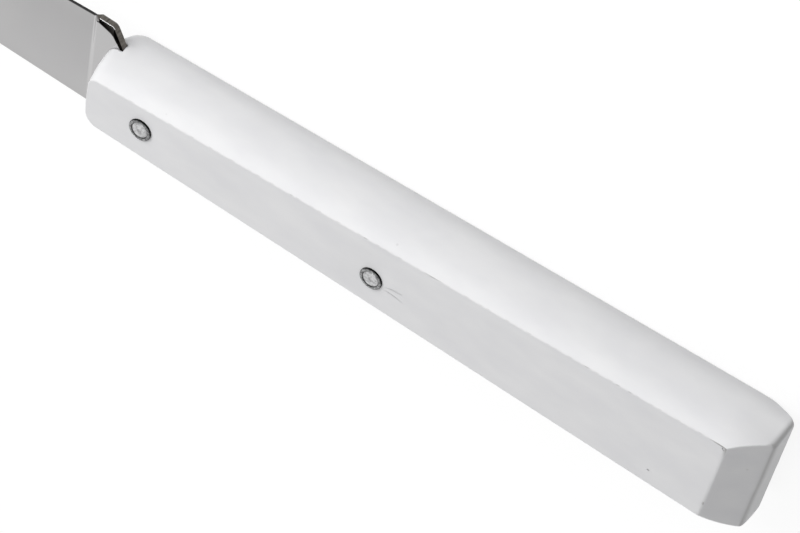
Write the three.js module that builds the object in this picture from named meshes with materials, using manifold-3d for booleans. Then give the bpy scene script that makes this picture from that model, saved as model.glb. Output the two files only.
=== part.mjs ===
// Table knife: a fixed steel blade whose half tang is let into a saw kerf in the back of
// a one-piece painted wooden handle, and held there by two tubular rivets with pins.
// Millimetres. +X runs to the tip, +Y to the spine and +Z out of one flat side.
// While modelling, X is zero at the handle's nose, Y on the line of the rivets and Z on
// the middle plane. The finished knife is then set down on its side.

import * as THREE from 'three';
import { mergeVertices } from 'three/addons/utils/BufferGeometryUtils.js';
import Module from 'manifold-3d';

// Handle: length at its belly, thickness between the two flat sides
const handleLength = 115.6;
const handleThickness = 12;
// Handle: height of the flat sides above the rivet line, and below it at nose and butt
const backHeight = 5.25;
const noseBellyHeight = 3.7;
const buttBellyHeight = 11.45;
// Handle: rise of the crowned belly and back above the edges of the flat sides
const crownHeight = 2.44;
// Handle: the nose stands forward in the middle and bulges over its height
const noseCrown = 0.57;
const noseRadius = 35;
const noseApexDepth = 2.2;
const noseBellyRound = 1.9;
const noseBackRound = 2.3;
// Handle: slanted butt with a narrow end face and a long chamfer on each flat side. Its
// corners have one round on the end face and another where the chamfers reach the flat sides.
const buttSlantDegrees = 4.4;
const buttFaceWidth = 5.2;
const buttChamferLength = 5.4;
const buttBellyRound = 0.8;
const buttBellyRoundAtSides = 0.2;
const buttBackRound = 0.4;
const buttBackRoundAtSides = 1.5;

// Blade: length in front of the nose, and the steel it is cut from
const bladeLength = 110;
const stockThickness = 1.4;
const spineBelowCrown = 0.1;
// Heel: depth below the rivet line, place of its corner and slant of the edge behind it
const heelDepth = 9.5;
const heelCornerX = 0;
const heelSlantDegrees = 34;
const heelCornerRound = 0.8;
// Heel: bevels on both sides, highest at the corner and lower at the shoulder and the plunge
const heelBevelHeight = 1.3;
const shoulderBevelHeight = 0.3;
const plungeBevelHeight = 0.45;
const heelBottomThickness = 0.95;
// Grind: from the plunge to the tip, thin at the edge and tapering to the tip. The heel's
// bottom runs out as a short wedge where the plunge begins.
const plungeAtEdge = 2.5;
const plungeAtSpine = 1;
const plungeLength = 1.5;
const wedgeLength = 0.75;
const grindShoulderThickness = 0.36;
const edgeThickness = 0.16;
const edgeBevelHeight = 0.3;
const tipThickness = 0.9;
// Outline: the edge rises straight, then both lines turn to a round tip
const edgeRiseDegrees = 4;
const tipBelowSpine = 5;
const spineTurnLength = 15;
const edgeTurnLength = 45;

// Tang: steel left below the rivet holes, where its floor starts to rise ahead of the
// rear rivet, radius of the saw that cuts its kerf, height of its blunt tail
const tangBelowRivets = 2.2;
const tangRiseBeforeRivet = 3;
const sawRadius = 30;
const tangTailHeight = 1;

// Rivets: tube with a rolled rim, closed by a pin
const rivetFromNose = 10.3;
const rivetSpacing = 40.7;
const rivetDiameter = 4;
const rivetPinDiameter = 2.6;
const rivetRimHeight = 0.28;
const rivetPinBelowRim = 0.08;
const rivetPinRound = 0.15;

// Clearances: tang in its kerf, rivet in its hole, pin in its tube
const tangClearance = 0.1;
const rivetClearance = 0.06;
const pinClearance = 0.03;

// Fineness of the round stretches
const crownSteps = 8;
const cornerSteps = 5;
const noseSteps = 5;
const tailSteps = 8;
const plungeSteps = 6;
const bladeSteps = 30;
const rivetSides = 32;
const rimSteps = 6;
const mergeDistance = 1e-5;
// Shares: the widest bevel on a narrow section, and the part of a step left blunt at the tip
const widestBevel = 0.4;
const bluntTip = 0.5;

// Sizes that follow
const halfThickness = handleThickness / 2;
const halfStock = stockThickness / 2;
const crownRadius = (halfThickness ** 2 + crownHeight ** 2) / (2 * crownHeight);
const spineY = backHeight + crownHeight - spineBelowCrown;
const tipY = spineY - tipBelowSpine;
const rivetRadius = rivetDiameter / 2;
const rivetHoleRadius = rivetRadius + rivetClearance;
const rivetPlaces = { front: -rivetFromNose, rear: -rivetFromNose - rivetSpacing };
const tangDepth = rivetRadius + tangBelowRivets;
const tangFloorEnd = rivetPlaces.rear + tangRiseBeforeRivet;
const sawCentreY = sawRadius - tangDepth;
const { degToRad, lerp, smoothstep } = THREE.MathUtils;
const slope = (degrees) => Math.tan(degToRad(degrees));

const wasm = await Module();
wasm.setup();

function toSolid(geometry) {
  const bare = geometry.clone();
  bare.deleteAttribute('normal');
  bare.deleteAttribute('uv');
  const merged = mergeVertices(bare, mergeDistance);
  const triangles = [];
  for (let corner = 0; corner < merged.index.count; corner += 3) {
    const [a, b, c] = merged.index.array.slice(corner, corner + 3);
    if (a !== b && b !== c && c !== a) triangles.push(a, b, c);
  }
  return new wasm.Manifold(new wasm.Mesh({
    numProp: 3,
    vertProperties: new Float32Array(merged.attributes.position.array),
    triVerts: new Uint32Array(triangles),
  }));
}

function toGeometry(solid) {
  const mesh = solid.getMesh();
  const geometry = new THREE.BufferGeometry();
  geometry.setAttribute('position', new THREE.BufferAttribute(mesh.vertProperties, 3));
  geometry.setIndex(new THREE.BufferAttribute(mesh.triVerts, 1));
  geometry.computeVertexNormals();
  return geometry;
}

// Skin over a row of convex rings of equal length, closed at both ends by a flat cap.
// The rings run counter-clockwise seen against the direction of the row.
function loft(rings) {
  const count = rings[0].length;
  const positions = rings.flat().flatMap((point) => point.toArray());
  const index = [];
  for (let ring = 0; ring < rings.length - 1; ring += 1) {
    for (let side = 0; side < count; side += 1) {
      const a = ring * count + side;
      const b = ring * count + (side + 1) % count;
      index.push(a, b, b + count, a, b + count, a + count);
    }
  }
  const last = (rings.length - 1) * count;
  for (let side = 1; side < count - 1; side += 1) {
    index.push(0, side + 1, side, last, last + side, last + side + 1);
  }
  const geometry = new THREE.BufferGeometry();
  geometry.setAttribute('position', new THREE.Float32BufferAttribute(positions, 3));
  geometry.setIndex(index);
  return geometry;
}

// Arc of the given radius that rounds the corner between two straight neighbours
function roundedCorner(before, corner, after, radius) {
  const back = before.clone().sub(corner).normalize();
  const forth = after.clone().sub(corner).normalize();
  const half = back.angleTo(forth) / 2;
  const centre = back.clone().add(forth).setLength(radius / Math.sin(half)).add(corner);
  const start = back.multiplyScalar(radius / Math.tan(half)).add(corner).sub(centre);
  const end = forth.multiplyScalar(radius / Math.tan(half)).add(corner).sub(centre);
  const sweep = Math.PI - 2 * half;
  const turn = Math.sign(start.cross(end)) * sweep;
  const points = [];
  for (let step = 0; step <= cornerSteps; step += 1) {
    const spot = start.clone().rotateAround(new THREE.Vector2(), turn * step / cornerSteps);
    points.push(spot.add(centre));
  }
  return points;
}

// Drill both rivet holes through a solid
function drilled(solid) {
  const radius = rivetHoleRadius;
  return Object.values(rivetPlaces).reduce((rest, x) => {
    const drill = new THREE.CylinderGeometry(radius, radius, 2 * handleThickness, rivetSides);
    drill.rotateX(Math.PI / 2);
    drill.translate(x, 0, 0);
    return rest.subtract(toSolid(drill));
  }, solid);
}

// Handle
// The outline of one layer, parallel to the flat sides at height z. Belly and back
// rise with the crown, the nose falls back from the middle and the butt is chamfered.
function handleLayer(z) {
  const crown = Math.sqrt(crownRadius ** 2 - z ** 2) - (crownRadius - crownHeight);
  const bellySlope = (buttBellyHeight - noseBellyHeight) / handleLength;
  const bellyAt = (x) => -noseBellyHeight + bellySlope * x - crown;
  const backY = backHeight + crown;
  const noseFall = noseCrown * (z / halfThickness) ** 2;
  const noseAt = (y) => -noseFall - (y + noseApexDepth) ** 2 / (2 * noseRadius);
  const halfFace = buttFaceWidth / 2;
  const chamfered = Math.max(0, Math.abs(z) - halfFace) / (halfThickness - halfFace);
  const chamferCut = chamfered * buttChamferLength;
  const bellyRound = lerp(buttBellyRound, buttBellyRoundAtSides, chamfered);
  const backRound = lerp(buttBackRound, buttBackRoundAtSides, chamfered);
  const buttBellyY = -buttBellyHeight - crownHeight;
  const buttAt = (y) => chamferCut - handleLength + (y - buttBellyY) * slope(buttSlantDegrees);

  const noseX = noseAt(bellyAt(0));
  const bellyNose = new THREE.Vector2(noseX, bellyAt(noseX));
  const backNose = new THREE.Vector2(noseAt(backY), backY);
  const backButt = new THREE.Vector2(buttAt(backY), backY);
  const buttX = buttAt(bellyAt(-handleLength + chamferCut));
  const bellyButt = new THREE.Vector2(buttX, bellyAt(buttX));

  const noseLow = bellyNose.y + noseBellyRound;
  const noseHigh = backNose.y - noseBackRound;
  const nose = [];
  for (let step = 0; step <= noseSteps; step += 1) {
    const y = lerp(noseLow, noseHigh, step / noseSteps);
    nose.push(new THREE.Vector2(noseAt(y), y));
  }
  const outline = [
    ...roundedCorner(bellyButt, bellyNose, nose[0], noseBellyRound),
    ...nose.slice(1, -1),
    ...roundedCorner(nose[noseSteps], backNose, backButt, noseBackRound),
    ...roundedCorner(backNose, backButt, bellyButt, backRound),
    ...roundedCorner(backButt, bellyButt, bellyNose, bellyRound),
  ];
  return outline.map((point) => new THREE.Vector3(point.x, point.y, z));
}

// The saw kerf that takes the tang: open along the back and at the nose, with a floor
// below the tang and a tail as round as the saw
function kerf() {
  const clear = tangClearance;
  const floorY = -tangDepth - clear;
  const openY = spineY + crownHeight;
  const openX = heelCornerX + plungeAtEdge;
  const radius = sawRadius + clear;
  const tailAngle = Math.PI + Math.asin((sawCentreY - openY) / radius);
  const slant = slope(heelSlantDegrees);
  const slantClear = clear / Math.cos(degToRad(heelSlantDegrees));
  const shoulderAt = (y) => heelCornerX - slantClear - (y + heelDepth) * slant;
  const shape = new THREE.Shape();
  shape.moveTo(openX, -heelDepth);
  shape.lineTo(openX, openY);
  shape.absarc(tangFloorEnd, sawCentreY, radius, tailAngle, 1.5 * Math.PI, false);
  shape.lineTo(shoulderAt(floorY), floorY);
  shape.lineTo(shoulderAt(-heelDepth), -heelDepth);
  const width = stockThickness + 2 * clear;
  const cut = new THREE.ExtrudeGeometry(shape, {
    depth: width, bevelEnabled: false, curveSegments: 2 * tailSteps,
  });
  cut.translate(0, 0, -width / 2);
  return toSolid(cut);
}

function handle() {
  const halfAngle = Math.asin(halfThickness / crownRadius);
  const heights = [-buttFaceWidth / 2, buttFaceWidth / 2];
  for (let step = -crownSteps; step <= crownSteps; step += 1) {
    heights.push(crownRadius * Math.sin(halfAngle * step / crownSteps));
  }
  heights.sort((a, b) => a - b);
  const blank = toSolid(loft(heights.map(handleLayer)));
  return toGeometry(drilled(blank.subtract(kerf())));
}

// Blade
// One cross-section of the steel, from its back to its lower edge. A bevel of the given
// height leads from the face, at half thickness halfFace, to the lower edge.
function section(back, lower, halfBack, halfFace, halfLower, bevelHeight) {
  const height = back.distanceTo(lower);
  const face = lower.clone().lerp(back, Math.min(bevelHeight / height, widestBevel));
  return [
    new THREE.Vector3(back.x, back.y, -halfBack),
    new THREE.Vector3(back.x, back.y, halfBack),
    new THREE.Vector3(face.x, face.y, halfFace),
    new THREE.Vector3(lower.x, lower.y, halfLower),
    new THREE.Vector3(lower.x, lower.y, -halfLower),
    new THREE.Vector3(face.x, face.y, -halfFace),
  ];
}

// Tang with its round tail, up to the shoulder behind the heel
function tangSections(shoulderX) {
  const tailRise = sawCentreY - (spineY - tangTailHeight);
  const tailRun = Math.sqrt(sawRadius ** 2 - tailRise ** 2);
  const places = [];
  for (let step = 0; step <= tailSteps; step += 1) {
    const run = tailRun * (1 - step / tailSteps);
    const y = sawCentreY - Math.sqrt(sawRadius ** 2 - run ** 2);
    places.push(new THREE.Vector2(tangFloorEnd - run, y));
  }
  places.push(new THREE.Vector2(shoulderX - heelBevelHeight, -tangDepth));
  return places.map((lower) => section(
    new THREE.Vector2(lower.x, spineY), lower, halfStock, halfStock, halfStock, shoulderBevelHeight,
  ));
}

// Heel: the slanted edge that leaves the handle, the round corner and the short flat in
// front of it. The bevels on both sides rise from the shoulder to the corner, and fall again.
function heelSections(shoulder) {
  const corner = new THREE.Vector2(heelCornerX, -heelDepth);
  const front = new THREE.Vector2(plungeAtEdge, -heelDepth);
  const lowers = [shoulder, ...roundedCorner(shoulder, corner, front, heelCornerRound), front];
  const halfBottom = heelBottomThickness / 2;
  return lowers.map((lower) => {
    const share = (lower.x - shoulder.x) / (front.x - shoulder.x);
    const back = new THREE.Vector2(lerp(shoulder.x, plungeAtSpine, share), spineY);
    const toCorner = (lower.x - shoulder.x) / (heelCornerX - shoulder.x);
    const pastCorner = (lower.x - heelCornerX) / (front.x - heelCornerX);
    const bevel = pastCorner > 0
      ? lerp(heelBevelHeight, plungeBevelHeight, pastCorner)
      : lerp(shoulderBevelHeight, heelBevelHeight, toCorner);
    return section(back, lower, halfStock, halfStock, halfBottom, bevel);
  });
}

const spineTurn = (x) => Math.max(0, (x - bladeLength + spineTurnLength) / spineTurnLength);
const edgeTurn = (x) => Math.max(0, (x - bladeLength + edgeTurnLength) / edgeTurnLength);
const quarterRound = (share) => Math.sqrt(Math.max(0, 1 - share ** 2));

// Back line and cutting edge in front of the plunge: straight, then quarter ellipses
// that meet at the round tip
function spineAt(x) {
  return tipY + (spineY - tipY) * quarterRound(spineTurn(x));
}

function edgeAt(x) {
  const straight = -heelDepth + (x - plungeAtEdge) * slope(edgeRiseDegrees);
  return tipY - (tipY - straight) * quarterRound(edgeTurn(x));
}

// Section of the ground blade. Ground and wedge say how far, from 0 to 1, its face and its
// lower edge have come from the heel's thickness to their own.
function groundSection(backX, lowerX, ground, wedge) {
  const back = new THREE.Vector2(backX, spineAt(backX));
  const lower = new THREE.Vector2(lowerX, edgeAt(lowerX));
  const halfBack = lerp(stockThickness, tipThickness, backX / bladeLength) / 2;
  const halfFace = lerp(stockThickness, grindShoulderThickness, ground) / 2;
  const halfLower = lerp(heelBottomThickness, edgeThickness, wedge) / 2;
  const bevel = lerp(plungeBevelHeight, edgeBevelHeight, ground);
  return section(back, lower, halfBack, halfFace, halfLower, bevel);
}

// Plunge, a soft step from the full stock to the ground face, and the ground blade
function grindSections() {
  const sections = [];
  for (let step = 1; step <= plungeSteps; step += 1) {
    const run = plungeLength * step / plungeSteps;
    const ground = smoothstep(run, 0, plungeLength);
    const wedge = smoothstep(run, 0, wedgeLength);
    sections.push(groundSection(plungeAtSpine + run, plungeAtEdge + run, ground, wedge));
  }
  for (let step = 1; step < bladeSteps; step += 1) {
    const share = Math.sin(Math.PI / 2 * step / (bladeSteps - bluntTip));
    const backX = lerp(plungeAtSpine + plungeLength, bladeLength, share);
    const lowerX = lerp(plungeAtEdge + plungeLength, bladeLength, share);
    sections.push(groundSection(backX, lowerX, 1, 1));
  }
  return sections;
}

function blade() {
  const shoulderX = heelCornerX - (heelDepth - tangDepth) * slope(heelSlantDegrees);
  const shoulder = new THREE.Vector2(shoulderX, -tangDepth);
  const steel = loft([
    ...tangSections(shoulderX),
    ...heelSections(shoulder),
    ...grindSections(),
  ]);
  return toGeometry(drilled(toSolid(steel)));
}

// Rivets
// Tube through handle and tang, with a half-round rim standing proud of each flat side
function rivetTube() {
  const inner = rivetPinDiameter / 2 + pinClearance;
  const middle = (inner + rivetRadius) / 2;
  const wall = rivetRadius - inner;
  const profile = [];
  for (const side of [-1, 1]) {
    for (let step = 0; step <= rimSteps; step += 1) {
      const angle = Math.PI * step / rimSteps;
      const radius = middle + side * Math.cos(angle) * wall / 2;
      const height = halfThickness + Math.sin(angle) * rivetRimHeight;
      profile.push(new THREE.Vector2(radius, side * height));
    }
  }
  profile.push(profile[0].clone());
  return turned(profile);
}

// Solid pin that fills the tube, ending just below the rims
function rivetPin() {
  const radius = rivetPinDiameter / 2;
  const end = halfThickness + rivetRimHeight - rivetPinBelowRim;
  return turned([
    new THREE.Vector2(0, -end),
    new THREE.Vector2(radius - rivetPinRound, -end),
    new THREE.Vector2(radius, -end + rivetPinRound),
    new THREE.Vector2(radius, end - rivetPinRound),
    new THREE.Vector2(radius - rivetPinRound, end),
    new THREE.Vector2(0, end),
  ]);
}

function turned(profile) {
  const geometry = new THREE.LatheGeometry(profile, rivetSides);
  geometry.rotateX(Math.PI / 2);
  return toGeometry(toSolid(geometry));
}

// The knife
const knife = new THREE.Group();

function addPiece(name, geometry, finish, x = 0) {
  const mesh = new THREE.Mesh(geometry, new THREE.MeshStandardMaterial(finish));
  mesh.name = name;
  mesh.position.x = x;
  knife.add(mesh);
}

const paintedWood = { color: 0xe6e6e7, roughness: 0.45, metalness: 0 };
const polishedSteel = { color: 0xb4b4b5, roughness: 0.25, metalness: 1 };
const rolledSteel = { color: 0x8a8c8d, roughness: 0.35, metalness: 1 };
const paleAlloy = { color: 0xc9cacb, roughness: 0.4, metalness: 1 };

addPiece('blade', blade(), polishedSteel);
addPiece('handle', handle(), paintedWood);
for (const [place, x] of Object.entries(rivetPlaces)) {
  addPiece(`rivet_${place}_tube`, rivetTube(), rolledSteel, x);
  addPiece(`rivet_${place}_pin`, rivetPin(), paleAlloy, x);
}

// Set down on its side, with the origin below the middle of its box
const box = new THREE.Box3().setFromObject(knife);
const middle = box.getCenter(new THREE.Vector3());
knife.position.set(-middle.x, -middle.y, -box.min.z);

export default knife;
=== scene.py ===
"""Table knife: painted wooden handle, ground steel blade and two rivets, on a white table.

Shapes are worked out in millimetres, in the knife's own axes: X is zero at the handle's nose and
runs to the tip, Y is zero on the line of the rivets and runs to the spine, Z is zero on the middle
plane and runs out of the flat side that faces up. They are set down in the frame in metres.
"""

import bmesh
import bpy
import numpy as np
from mathutils import Matrix, Vector
from mathutils.geometry import delaunay_2d_cdt


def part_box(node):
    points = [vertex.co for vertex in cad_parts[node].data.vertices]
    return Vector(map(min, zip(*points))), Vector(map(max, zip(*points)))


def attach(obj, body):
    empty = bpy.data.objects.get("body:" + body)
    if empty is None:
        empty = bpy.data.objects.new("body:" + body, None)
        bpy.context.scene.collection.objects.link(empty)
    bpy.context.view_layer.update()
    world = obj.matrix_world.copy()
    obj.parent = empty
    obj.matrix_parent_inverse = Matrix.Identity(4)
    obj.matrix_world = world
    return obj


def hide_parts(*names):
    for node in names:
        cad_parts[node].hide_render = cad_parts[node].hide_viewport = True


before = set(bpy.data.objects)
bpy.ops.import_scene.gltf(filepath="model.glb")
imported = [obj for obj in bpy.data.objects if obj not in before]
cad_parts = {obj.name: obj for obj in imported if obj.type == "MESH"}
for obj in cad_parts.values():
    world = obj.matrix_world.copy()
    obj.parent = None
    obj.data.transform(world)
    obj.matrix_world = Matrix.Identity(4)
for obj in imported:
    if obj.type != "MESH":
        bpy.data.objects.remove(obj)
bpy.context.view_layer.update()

MM = 0.001

# Places taken from the frame
FRONT_LOW, FRONT_HIGH = (np.array(corner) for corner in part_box("rivet_front_tube"))
REAR_LOW, REAR_HIGH = (np.array(corner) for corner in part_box("rivet_rear_tube"))
HANDLE_LOW, HANDLE_HIGH = (np.array(corner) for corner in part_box("handle"))
BLADE_LOW, BLADE_HIGH = (np.array(corner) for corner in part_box("blade"))
FRONT_RIVET = (FRONT_LOW + FRONT_HIGH) / 2
REAR_RIVET = (REAR_LOW + REAR_HIGH) / 2
ORIGIN = np.array([HANDLE_HIGH[0], FRONT_RIVET[1], FRONT_RIVET[2]])

# Handle, mm. Pairs are for the side that faces down and the one that faces up, apart from the
# rounds between butt and belly, which are on the end face and at the flat sides
HANDLE_LENGTH = (HANDLE_HIGH[0] - HANDLE_LOW[0]) / MM
HALF_THICKNESS = (HANDLE_HIGH[2] - HANDLE_LOW[2]) / MM / 2
BACK_HEIGHT = 5.25
NOSE_BELLY_HEIGHT = 3.6
BUTT_BELLY_HEIGHT = 11.35
CROWN_HEIGHT = 2.44
CROWN_RADIUS = (HALF_THICKNESS**2 + CROWN_HEIGHT**2) / (2 * CROWN_HEIGHT)
NOSE_CROWN = 0.57
NOSE_RADIUS = 35
NOSE_APEX = -2.2
NOSE_BELLY_ROUNDS = (2.3, 1.5)
NOSE_BACK_ROUND = 2.3
BUTT_SLANT = np.radians(4.4)
BUTT_REACH = 0.07
BUTT_RIDGES = (3.2, 1.95)
BUTT_CHAMFER_LENGTH = 5.34
BUTT_BELLY_ROUNDS = (0.9, 0.2)
BELLY_ROUND_STRETCH = 0.2
BUTT_BACK_ROUND = 0.5
BUTT_RIDGE_ROUND = 0.3
BELLY_FALLS = (0.3, 1.2)
BELLY_FALL_BAND = (-2.5, 1.5)
BELLY_FALL_LENGTH = 8.5
PAINT_BEAD = 0.18
PAINT_BEAD_REACH = 1.1
BELLY_SLOPE = (BUTT_BELLY_HEIGHT - NOSE_BELLY_HEIGHT) / HANDLE_LENGTH
SANDED_EDGE = 0.12
BUTT_EDGE_SOFTNESS = 3
BUTT_EDGE_FADE = 0.8
HOLE_LIP = 0.03
EDGE_WAVINESS = 0.5
SLOW_WAVES = (7.1, 2.9)
QUICK_WAVES = (0.83, 0.31)

# Wear on the flat side that faces up, mm: nicks in its edges as places, half lengths and
# strengths, hair cracks in the paint beside the rear rivet as ends, and a pit
NICKS = (
    (-35.75, -5.95, 0.3, 0.5),
    (-48.6, -6.8, 0.4, 0.6),
    (-60.2, -7.6, 1.4, 0.6),
    (-86.4, -9.35, 0.5, 0.5),
    (-91.7, -9.7, 0.3, 0.5),
    (-93.75, -9.85, 0.3, 0.5),
    (-109.0, -10.88, 1.5, 0.9),
    (-109.0, 2.3, 0.35, 0.8),
)
CRACKS = (((-53.5, 0.0), (-56.4, -0.45)), ((-53.2, 0.65), (-56.7, 1.0)))
CRACK_WIDTH = 0.065
CRACK_BOW = 0.08
CRACK_DEPTH = 0.07
# How dark the cracks are made: painted shade in the crease, on top of the shading of the sunk geometry
CRACK_STRENGTH = 0.25
PIT = (-99.6, 2.6)
PIT_RADIUS = 0.12
PIT_DEPTH = 0.05
PIT_MARGIN = 1.5
# Marks on both sides: thin paint along the edges in patches, darker paint along the ridges of the butt,
# where the second width is for the upper half of the end face, and painted shade on the corner from the end
# face to the belly
PATCH_STRENGTH = 0.22
PATCH_WAVES = (2.3, 0.71, 0.37)
PATCH_CONTRAST = 2
RIDGE_STRENGTH = 0.34
RIDGE_DARK_WIDTHS = (0.2, 0.9)
CORNER_SHADE_WIDTH = BUTT_BELLY_ROUNDS[0] / 2

# Blade, mm
BLADE_LENGTH = (BLADE_HIGH[0] - HANDLE_HIGH[0]) / MM
HALF_STOCK = (BLADE_HIGH[2] - BLADE_LOW[2]) / MM / 2
SPINE_OVER_SOLID = 0.09
SPINE = (BLADE_HIGH[1] - ORIGIN[1]) / MM + SPINE_OVER_SOLID
HEEL_DEPTH = (ORIGIN[1] - BLADE_LOW[1]) / MM
HEEL_SLANT = np.radians(34)
HEEL_CORNER_ROUND = 0.8
HEEL_BEVEL = 1.5
SHOULDER_BEVEL = 0.3
PLUNGE_BEVEL = 0.7
HALF_HEEL_BOTTOM = 0.56
PLUNGE_AT_EDGE = 2.5
PLUNGE_AT_SPINE = 1.0
PLUNGE_LENGTH = 1.5
PLUNGE_STEEPNESS = 1.9
WEDGE_LENGTH = 0.75
CUT_GREY = 0.8
WEDGE_GREY = 0.3
WEDGE_BOTTOM = 0.25
FACE_MARGIN = 0.015
RUBBED_EDGE = 1.6
HALF_SHOULDER = 0.18
HALF_EDGE = 0.02
EDGE_BEVEL = 0.34
BEVEL_LIMIT = 0.4
HALF_TIP = 0.45
EDGE_RISE = np.radians(4)
TIP_BELOW_SPINE = 5
SPINE_TURN = 15
EDGE_TURN = 45
BROKEN_EDGE = 0.1
BROKEN_LIMIT = 0.3
FLAT_KEEPER = 1.4
FACE_BULGE = 0.065

# Tang and its kerf, mm
TANG_DEPTH = 4.2
TANG_RISE_BEFORE_RIVET = 3
SAW_RADIUS = 30
TANG_TAIL_HEIGHT = 1
TANG_CLEARANCE = 0.1

# Rivets, mm
RIVET_RADIUS = (FRONT_HIGH[0] - FRONT_LOW[0]) / MM / 2
RIVET_TOP = (FRONT_HIGH[2] - FRONT_LOW[2]) / MM / 2
PIN_RADIUS = 1.3
PIN_BELOW_RIM = 0.04
PIN_ROUND = 0.1
PIN_CLEARANCE = 0.03
PIN_DIMPLE = 0.04
PIN_DIMPLE_RADIUS = 0.325
HEAD_INSET = 0.13
HEAD_RADIUS = RIVET_RADIUS - HEAD_INSET
HEAD_CROWN = 0.04
# Painted shade on the rivet rims: how far it reaches out from the bore, its share there, and how far it
# reaches in from the outer wall
BORE_SHADE = 0.14
BORE_SHADE_SHARE = 0.25
WALL_SHADE = 0.12
HEAD_EDGE_ROUND = 0.05
HEAD_CLEARANCE = 0.02
HOLE_RADIUS = HEAD_RADIUS + HEAD_CLEARANCE
RIVETS = {"front": (FRONT_RIVET[0] - ORIGIN[0]) / MM, "rear": (REAR_RIVET[0] - ORIGIN[0]) / MM}
TANG_FLOOR_END = RIVETS["rear"] + TANG_RISE_BEFORE_RIVET
SAW_CENTRE = SAW_RADIUS - TANG_DEPTH

# Rows and points of the meshes
CIRCLE_POINTS = 96
BELLY_COLUMNS = 360
BACK_COLUMNS = 120
NOSE_POINTS = 20
NOSE_CORNER_POINTS = 14
BUTT_POINTS = 60
BUTT_BACK_POINTS = 14
BUTT_BELLY_POINTS = 10
MOUTH_POINTS = 5
KERF_FRONT_POINTS = 4
KERF_FLOOR_POINTS = 12
SAW_POINTS = 20
CROWN_ROWS = 24
RIDGE_ROWS = 13
RIDGE_REACH = 1.5
SANDED_ROWS = 8
LIP_ROWS = 5
WEB_ROWS = 9
CRACK_POINTS = 13
PIT_ROWS = 5
PIT_POINTS = 16
TAIL_ROWS = 24
HEEL_ROWS = 8
HEEL_CORNER_ROWS = 14
PLUNGE_ROWS = 19
GROUND_ROWS = 110
BLUNT_TIP = 0.3
FACE_COLUMNS = 8
CORNER_COLUMNS = 7
RIM_POINTS = 18
RIM_EDGE_POINTS = 6
PIN_POINTS = 18
PIN_EDGE_POINTS = 8

WELD = 1e-4
QUARTER = np.pi / 2


# Surfaces

def eased(count):
    """Shares from 0 to 1 that lie closer together towards both ends: half a cosine wave."""
    return (1 - np.cos(np.pi * np.linspace(0, 1, count))) / 2


def smooth(share):
    """Soft step from 0 to 1: a cubic that is level at both ends."""
    share = np.clip(share, 0, 1)
    return share**2 * (3 - 2 * share)


def straight(start, end, shares):
    """Straight stretch from start to end, one row for each layer, at the given shares."""
    return start[:, None] + (end - start)[:, None] * shares[None, :, None]


def arc(centre, radius, start, end, count):
    """Arc about each layer's centre, from one angle to another in equal steps."""
    angle = start[:, None] + (end - start)[:, None] * np.linspace(0, 1, count)
    radius = np.reshape(radius, (-1, 1, 1))
    return centre[:, None] + radius * np.stack([np.cos(angle), np.sin(angle)], axis=2)


def circle(x, radius):
    """Points of a circle about a rivet's axis, in the plane of the flat sides."""
    angle = np.linspace(0, 2 * np.pi, CIRCLE_POINTS, endpoint=False)
    return np.stack([x + radius * np.cos(angle), radius * np.sin(angle)], axis=1)


def at_height(outline, z):
    """Lifts flat outlines to a height, one for all layers or one for each."""
    z = np.broadcast_to(np.reshape(z, (-1, 1)), outline.shape[:2])
    return np.concatenate([outline, z[:, :, None]], axis=2)


def skin(rings):
    """Quads between neighbours on a grid of points, rows of closed rings."""
    rows, columns = rings.shape[:2]
    index = np.arange(rows * columns).reshape(rows, columns)
    beside = np.roll(index, -1, axis=1)
    quads = np.stack([index[:-1], beside[:-1], beside[1:], index[1:]], axis=2)
    return rings.reshape(-1, 3), quads.reshape(-1, 4)


def plate(loops, z):
    """Flat plate at one height inside the first closed loop and outside the others."""
    points = np.concatenate(loops)
    starts = np.cumsum([0] + [len(loop) for loop in loops])
    edges = np.concatenate([
        np.stack([np.arange(a, b), np.roll(np.arange(a, b), -1)], axis=1)
        for a, b in zip(starts[:-1], starts[1:])
    ])
    filled = delaunay_2d_cdt(points.tolist(), edges.tolist(), [], 2, WELD / 10)
    spots = np.array([tuple(spot) for spot in filled[0]])
    triangles = np.array(filled[2])
    return at_height(spots[None], z)[0], triangles[:, [0, 1, 2, 2]]


def weld(patches):
    """Joins patches where their points meet. Quads that lost a corner become triangles."""
    points = np.concatenate([spots for spots, _ in patches])
    starts = np.cumsum([0] + [len(spots) for spots, _ in patches])
    faces = np.concatenate([quads + start for (_, quads), start in zip(patches, starts)])
    keys = np.round(points / WELD).astype(np.int64)
    _, first, renamed = np.unique(keys, axis=0, return_index=True, return_inverse=True)
    faces = renamed.reshape(-1)[faces]
    lost = faces == np.roll(faces, -1, axis=1)
    whole = faces[~lost.any(axis=1)]
    cut = faces[lost.sum(axis=1) == 1]
    triangles = cut[cut != np.roll(cut, -1, axis=1)].reshape(-1, 3)
    return points[first], whole.tolist() + triangles.tolist()


def make_piece(name, node, material, patches, marks=None):
    """Welds the patches to one closed mesh, sets it down in the frame and names what it stands
    for. Marks are values at the points, worked out by a function of their places, that the
    material reads."""
    points, faces = weld(patches)
    mesh = bpy.data.meshes.new(name)
    mesh.from_pydata((ORIGIN + points * MM).tolist(), [], faces)
    shell = bmesh.new()
    shell.from_mesh(mesh)
    bmesh.ops.recalc_face_normals(shell, faces=shell.faces)
    shell.to_mesh(mesh)
    shell.free()
    mesh.polygons.foreach_set("use_smooth", np.ones(len(mesh.polygons), bool))
    if marks is not None:
        layer = mesh.attributes.new("marks", "FLOAT", "POINT")
        layer.data.foreach_set("value", marks(points).astype(np.float32))
    mesh.materials.append(material)
    piece = bpy.data.objects.new(name, mesh)
    bpy.context.scene.collection.objects.link(piece)
    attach(piece, "root")
    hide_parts(node)
    return piece


# Handle

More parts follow.
